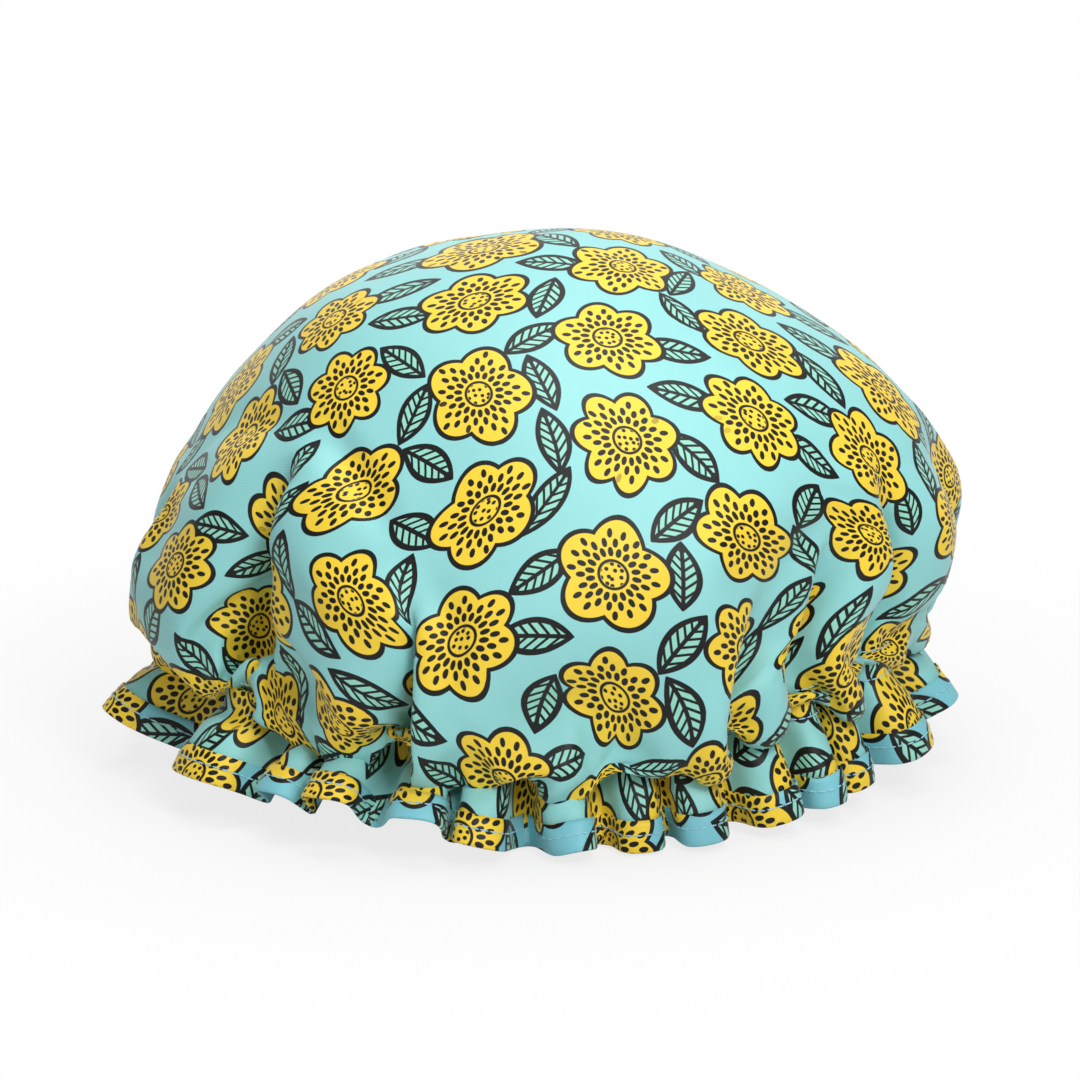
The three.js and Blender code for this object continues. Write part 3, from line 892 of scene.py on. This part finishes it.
def strip_object(name, rows, cut_rows, capped=False):
    """A sheet through rows of points, with each point's place on its cut. Edges that meet are joined, and
    the ends of a tube can be capped."""
    work = bmesh.new()
    bmesh.ops.create_grid(work, x_segments=len(rows[0]) - 1, y_segments=len(rows) - 1, size=1)
    points, cuts = np.concatenate(rows), np.concatenate(cut_rows)
    layer = work.loops.layers.uv.new("cut")
    for vert, point, cut in zip(work.verts, points, cuts):
        vert.co = point
        for loop in vert.link_loops:
            loop[layer].uv = cut
    bmesh.ops.remove_doubles(work, verts=work.verts, dist=MERGE)
    if capped:
        bmesh.ops.holes_fill(work, edges=work.edges, sides=12)
    bmesh.ops.recalc_face_normals(work, faces=work.faces)
    mesh = bpy.data.meshes.new(name)
    work.to_mesh(mesh)
    work.free()
    return add_object(name, mesh)


def stitch_row(name, points, ways, outs, length, width):
    """Separate stitches, each a slim rounded thread lying along its seam."""
    mesh = bpy.data.meshes.new(name)
    work = bmesh.new()
    work.loops.layers.uv.new("cut")
    bmesh.ops.create_uvsphere(work, u_segments=8, v_segments=6, radius=0.5, calc_uvs=True)
    work.to_mesh(mesh)
    ball = read_points(mesh)
    work.clear()
    for _ in points:
        work.from_mesh(mesh)
    work.to_mesh(mesh)
    work.free()
    # The balls' poles lie along the seam
    shapes = np.stack([np.cross(outs, ways) * width, outs * width, ways * length], 1)
    set_points(mesh, np.einsum("vk,nkc->nvc", ball, shapes) + points[:, None])
    return add_object(name, mesh)


def casing_wall(surface, upper, lower):
    """Radius of the gathers' innermost folds between the casing's seams."""
    turns = np.linspace(0, TURN, 720, endpoint=False)
    return min(lengths(surface.point(cut, turns)[:, :2]).min() for cut in np.linspace(upper, lower, 5))


def casing_ring(radius, turns, height, size):
    """Points round the cap's axis, lifted at the sides as the casing is."""
    level = np.full_like(turns, height)
    return raise_sides(np.stack([radius * np.cos(turns), radius * np.sin(turns), level], 1), size)


def aim(holder, place, target):
    """Puts a lamp or the camera at a place, facing a target."""
    holder.location = place
    holder.rotation_euler = (target - place).to_track_quat("-Z", "Y").to_euler()


def need(name):
    """A piece made earlier, or an error that says it is missing."""
    piece = bpy.data.objects.get(name)
    if piece is None:
        raise RuntimeError(f"{name} has to be built first")
    return piece


class CAP_OT_cloth(bpy.types.Operator):
    """Cut the printed cloth, gather it on the casing and puff it out"""

    bl_idname = "cap.cloth"
    bl_label = "Printed Cloth"

    def execute(self, context):
        size, folds = context.scene.cap_size, context.scene.cap_folds
        pattern = Pattern(size, folds)
        piece = grid_object("outer_cloth", pattern.half)
        points = simulate(piece, pattern, folds)
        points = sag_lip(points, pattern.cuts[kept(piece, "layer")], pattern, size)
        # The hem's lowest fold stands on its binding
        points[:, 2] += HEM_CLEAR - points[:, 2].min()
        points = lean_crown(points, size)
        set_points(piece.data, raise_sides(points, size))
        flat = flat_rings(pattern.print_radius, np.zeros(pattern.half + 1))
        uvs = vertex_points(piece, flat)[:, :2]
        corners = np.empty(len(piece.data.loops), int)
        piece.data.loops.foreach_get("vertex_index", corners)
        piece.data.uv_layers.new(name="cut").data.foreach_set("uv", uvs[corners].ravel())
        piece["cuts"] = pattern.cuts.tolist()
        piece["seams"] = [pattern.seam_up, pattern.seam_low, pattern.hem]
        finer = piece.modifiers.new("finer", "SUBSURF")
        finer.levels = 1
        finer.render_levels = 1
        thicken(piece, size.cloth, -1)
        finish_piece(piece, printed_polyester("printed_polyester", context.scene.cap_print.ground),
                     "printed_cloth", "crown_cloth", "frill_cloth")
        return {"FINISHED"}


class CAP_OT_binding(bpy.types.Operator):
    """Fold a strip of the cloth round the frill's edge"""

    bl_idname = "cap.binding"
    bl_label = "Edge Binding"

    def execute(self, context):
        size = context.scene.cap_size
        cloth = need("outer_cloth")
        surface = Surface(cloth)
        hem = cloth["seams"][2]
        angles, length = surface.even_angles(hem, 0.0017)
        angles = np.append(angles, angles[0] + TURN)
        backs = np.linspace(size.binding_depth, 0.0, 6)
        front, behind = [], []
        for back in backs:
            point, _, _, out = surface.frame(hem - back, angles)
            front.append(point + out * BINDING_CLEAR)
            behind.append(point - out * (BINDING_CLEAR + size.cloth))
        point, _, down, out = surface.frame(hem, angles)
        middle = point - out * size.cloth / 2
        bend = BINDING_CLEAR + size.cloth / 2
        fold = [middle + bend * (out * math.cos(turn) + down * math.sin(turn))
                for turn in np.linspace(0, math.pi, 6)[1:-1]]
        rows = [*front, *fold, *reversed(behind)]
        # The strip is cut along the print, from a little way into the repeat
        run = np.linspace(0, length, len(angles))
        heights = 0.013 + running([lengths(b - a).mean() for a, b in zip(rows, rows[1:])])
        cut_rows = [np.stack([run, np.full_like(run, height)], 1) for height in heights]
        piece = strip_object("binding_strip", rows, cut_rows)
        thicken(piece, BINDING_CLOTH, 1)
        finish_piece(piece, printed_polyester("printed_polyester_binding", context.scene.cap_print.binding),
                     "binding_cloth", "edge_binding")
        return {"FINISHED"}


class CAP_OT_lining(bpy.types.Operator):
    """Hang the waterproof film inside the crown, gathered with the cloth"""

    bl_idname = "cap.lining"
    bl_label = "Lining"

    def execute(self, context):
        size = context.scene.cap_size
        cloth = need("outer_cloth")
        surface = Surface(cloth)
        upper, lower, _ = cloth["seams"]
        wall = casing_wall(surface, upper, lower) - FILM_TO_WALL
        heights = [surface.point(cut, FRONT)[0, 2] for cut in (upper, (upper + lower) / 2, lower)]

        # Looking out from the middle of the crown, the film lies within the cloth's nearest folds
        middle = Vector((0.003, 0, 0.065))
        skin = BVHTree.FromObject(cloth, context.evaluated_depsgraph_get())
        turns = np.linspace(0, TURN, 288, endpoint=False)
        slopes = np.linspace(math.pi / 2, math.atan2(heights[0] + 0.004 - middle.z, wall), 44)
        rays = [[Vector((math.cos(s) * math.cos(t), math.cos(s) * math.sin(t), math.sin(s))) for t in turns]
                for s in slopes]
        reach = np.array([[skin.ray_cast(middle, ray)[3] for ray in row] for row in rays], float)

        # Each place has neighbours 2 rows and 12 columns off on either side
        def neighbours(values):
            wide = np.pad(np.pad(values, ((0, 0), (12, 12)), mode="wrap"), ((2, 2), (0, 0)), mode="edge")
            return np.lib.stride_tricks.sliding_window_view(wide, (5, 25))

        nearest = neighbours(reach).min((2, 3))
        film = neighbours(nearest).mean((2, 3)) - FILM_TO_CLOTH

        # Uneven pleats stand in from it above the casing, where it is gathered, and die out upwards
        phase = PLEATS * turns + 1.7 * np.sin(3 * turns + 0.8) + 1.2 * np.sin(5 * turns + 2.1)
        pleats = (0.5 + 0.5 * np.cos(phase)) ** 1.5 * (0.7 + 0.3 * np.sin(4 * turns + 1.0))
        last = len(slopes) - 1
        row = np.arange(len(slopes))[:, None]
        film -= PLEAT_DEPTH * pleats * smooth(last, last - 3, row) * smooth(0.45 * last, last - 3, row)
        film[0] = film[0].mean()
        rows = [np.array(middle) + np.array(row) * d[:, None] for row, d in zip(rays, film)]
        rows += [casing_ring(wall, turns, height, size) for height in heights]
        along = running([lengths(b - a).mean() for a, b in zip(rows, rows[1:])])
        way = np.stack([np.cos(turns), np.sin(turns)], 1)
        close = [*range(len(turns)), 0]
        piece = strip_object("lining_film", [r[close] for r in rows], [cut * way[close] for cut in along])
        thicken(piece, FILM, -1)
        finish_piece(piece, vinyl_film(), "lining_film", "waterproof_lining")
        return {"FINISHED"}


class CAP_OT_casing(bpy.types.Operator):
    """Lay the elastic in its tunnel, lap its ends and cover it with the tape"""

    bl_idname = "cap.casing"
    bl_label = "Casing"

    def execute(self, context):
        size = context.scene.cap_size
        cloth = need("outer_cloth")
        surface = Surface(cloth)
        upper, lower, _ = cloth["seams"]
        high, low = (surface.point(cut, FRONT)[0, 2] for cut in (upper, lower))
        middle = (high + low) / 2
        wall = casing_wall(surface, upper, lower)
        outer = wall - ELASTIC_TO_WALL

        # Elastic, with rounded edges, winding in by its own thickness so that the ends lap at the back
        thick, half = ELASTIC_THICK, size.elastic_width / 2
        lap = ELASTIC_LAP / outer
        swept = np.linspace(0, TURN + lap, 260)
        start = math.pi / 2 - lap / 2
        brim = half + 0.0003
        section = [(0, -half), (0, half), (thick * 0.3, brim), (thick * 0.7, brim),
                   (thick, half), (thick, -half), (thick * 0.7, -brim), (thick * 0.3, -brim), (0, -half)]
        rows, cut_rows = [], []
        for number, (inward, rise) in enumerate(section):
            radius = outer - inward - (thick + LAP_CLEAR) * swept / TURN
            rows.append(casing_ring(radius, start + swept, middle + rise, size))
            cut_rows.append(np.stack([swept * outer, np.full_like(swept, 0.002 * number)], 1))
        elastic = strip_object("flat_elastic", rows, cut_rows, capped=True)
        finish_piece(elastic, narrow_weave("braided_elastic", "f1eee6", 0.0013, 0.0022, 0.5, 0.75),
                     "elastic_weave", "elastic_band")

        # Tape, sewn along both edges and drawn in over the elastic between them, with small puckers
        edge = wall - TAPE_TO_WALL
        inner = outer - 2 * ELASTIC_THICK - TAPE_TO_ELASTIC
        turns = np.linspace(0, TURN, 489)
        rows, cut_rows = [], []
        for share in np.linspace(-0.12, 1.12, 14):
            drawn = math.sin(math.pi * min(max(share, 0), 1)) ** 0.5
            radius = edge + (inner - edge) * drawn - PUCKER_DEPTH * drawn * (1 + np.cos(PUCKERS * turns))
            rows.append(casing_ring(radius, turns, high + (low - high) * share, size))
            cut_rows.append(np.stack([turns * edge, np.full_like(turns, (high - low) * share)], 1))
        tape = strip_object("casing_tape_cloth", rows, cut_rows)
        thicken(tape, TAPE_CLOTH, -1)
        finish_piece(tape, narrow_weave("woven_polyester_tape", "c4e4e8", 0.0009, 0.0009, 0.35, 0.7),
                     "tape_cloth", "casing_tape")
        return {"FINISHED"}


class CAP_OT_stitches(bpy.types.Operator):
    """Sew the rows of stitches on the casing, the binding and the elastic's joint"""

    bl_idname = "cap.stitches"
    bl_label = "Stitches"

    def execute(self, context):
        size = context.scene.cap_size
        cloth = need("outer_cloth")
        surface = Surface(cloth)
        upper, lower, hem = cloth["seams"]
        thread = spun_thread()
        # Each row's place on the cut and how far its threads lie above the cloth
        rows = [
            ("stitches_casing_upper", upper, 0.00012, "casing_stitch_upper"),
            ("stitches_casing_lower", lower, 0.00012, "casing_stitch_lower"),
            ("stitches_binding", hem - 0.52 * size.binding_depth, 0.00068, "binding_stitch"),
        ]
        for name, cut, lift, node in rows:
            angles, _ = surface.even_angles(cut, STITCH_PITCH)
            point, way, _, out = surface.frame(cut, angles)
            piece = stitch_row(name, point + out * lift, way, out, STITCH_LENGTH, THREAD)
            finish_piece(piece, thread, "sewing_thread", node)

        # A sewn box on the inner face of the elastic's lap, at the back
        elastic = need("flat_elastic")
        face = [v.co for v in elastic.data.vertices if abs(v.co.x) < 0.004 and v.co.y > 0]
        depth = min(p.y for p in face) - 0.0001
        level = (min(p.z for p in face) + max(p.z for p in face)) / 2
        spots, ways = [], []
        for x in np.linspace(-0.0032, 0.0032, 4):
            for z in (-0.0024, 0.0024):
                spots.append((x, depth, level + z))
                ways.append((1, 0, 0))
        for z in (-0.0012, 0.0012):
            for x in (-0.0043, 0.0043):
                spots.append((x, depth, level + z))
                ways.append((0, 0, 1))
        outs = np.tile([0.0, -1.0, 0.0], (len(spots), 1))
        box = stitch_row("stitches_elastic_join", np.array(spots), np.array(ways, float), outs, 0.002, 0.0005)
        finish_piece(box, thread, "sewing_thread", "elastic_join_stitch")
        return {"FINISHED"}


class CAP_OT_stage(bpy.types.Operator):
    """Set up the floor, the light and the camera"""

    bl_idname = "cap.stage"
    bl_label = "Stage"

    def execute(self, context):
        scene = context.scene
        view = scene.cap_view
        floor_mesh = bpy.data.meshes.new("floor")
        work = bmesh.new()
        bmesh.ops.create_grid(work, x_segments=1, y_segments=1, size=4)
        work.to_mesh(floor_mesh)
        work.free()
        add_object("floor", floor_mesh)
        # White paper to the camera, with the soft shadow kept close round the cap
        material, tree, shader = new_material("white_paper", 0.9)
        shader.inputs["Base Color"].default_value = hex_colour("dcdcdc")
        place = add_node(tree, "TexCoord").outputs["Object"]
        away = add_node(tree, "VectorMath", (place,), operation="LENGTH").outputs["Value"]
        plain = add_node(tree, "MapRange", {
            "Value": away, "From Min": 0.16, "From Max": 0.30, "To Min": 0.80, "To Max": 1.0})
        seen = add_node(tree, "LightPath").outputs["Is Camera Ray"]
        white = add_node(tree, "Emission", {"Color": (1, 1, 1, 1), "Strength": 1.0})
        mix = add_node(tree, "MixShader", (
            add_node(tree, "Math", (seen, plain), operation="MULTIPLY"), shader, white))
        tree.links.new(mix.outputs[0], tree.nodes["Material Output"].inputs["Surface"])
        floor_mesh.materials.append(material)

        world = bpy.data.worlds.new("studio")
        world.use_nodes = True
        scene.world = world
        tree = world.node_tree
        seen = add_node(tree, "LightPath").outputs["Is Camera Ray"]
        strength = add_node(tree, "Math", (seen, 0.83, 0.17), operation="MULTIPLY_ADD")
        background = tree.nodes["Background"]
        background.inputs["Color"].default_value = (1, 1, 1, 1)
        tree.links.new(strength.outputs[0], background.inputs["Strength"])

        # Soft lamps: place and width in metres, and power in watts
        for name, place, width, power in (
            ("key", (0.45, -1.0, 0.95), 0.5, 10.0),
            ("fill", (-0.8, -1.1, 0.5), 0.9, 1.7),
            ("back", (0.0, 1.6, 0.6), 1.5, 8.0),
            ("top", (0.1, 0.1, 1.4), 0.9, 13.0),
        ):
            lamp = bpy.data.lights.new(name, "AREA")
            lamp.size = width
            lamp.energy = power
            aim(add_object(name, lamp), Vector(place), Vector((0, 0, 0.08)))

        camera = bpy.data.cameras.new("camera")
        camera.sensor_width = 36
        camera.lens = camera.sensor_width * view.distance / view.width
        target = Vector((0, 0, view.target))
        back = view.distance * Vector((0, -math.cos(view.elevation), math.sin(view.elevation)))
        scene.camera = add_object("camera", camera)
        aim(scene.camera, target + back, target)
        scene.view_settings.view_transform = "Standard"
        return {"FINISHED"}


STEPS = (CAP_OT_cloth, CAP_OT_binding, CAP_OT_lining, CAP_OT_casing, CAP_OT_stitches, CAP_OT_stage)


class CAP_PT_panel(bpy.types.Panel):
    """Sizes, folds, print and view of the cap, with a button for each group of pieces"""

    bl_label = "Shower Cap"
    bl_idname = "CAP_PT_panel"
    bl_space_type = "VIEW_3D"
    bl_region_type = "UI"
    bl_category = "Shower Cap"

    def draw(self, context):
        for group in ("cap_size", "cap_folds", "cap_print", "cap_view"):
            settings = getattr(context.scene, group)
            box = self.layout.box()
            for name in settings.__annotations__:
                box.prop(settings, name)
        for step in STEPS:
            self.layout.operator(step.bl_idname)


GROUPS = {"cap_size": CapSize, "cap_folds": CapFolds, "cap_print": CapPrint, "cap_view": CapView}
CLASSES = (*GROUPS.values(), *STEPS, CAP_PT_panel)


def register():
    for cls in CLASSES:
        bpy.utils.register_class(cls)
    for name, group in GROUPS.items():
        setattr(bpy.types.Scene, name, bpy.props.PointerProperty(type=group))


def unregister():
    for name in GROUPS:
        delattr(bpy.types.Scene, name)
    for cls in reversed(CLASSES):
        bpy.utils.unregister_class(cls)


def main():
    register()
    for build in (bpy.ops.cap.cloth, bpy.ops.cap.binding, bpy.ops.cap.lining, bpy.ops.cap.casing,
                  bpy.ops.cap.stitches, bpy.ops.cap.stage):
        build()


if __name__ == "__main__":
    main()
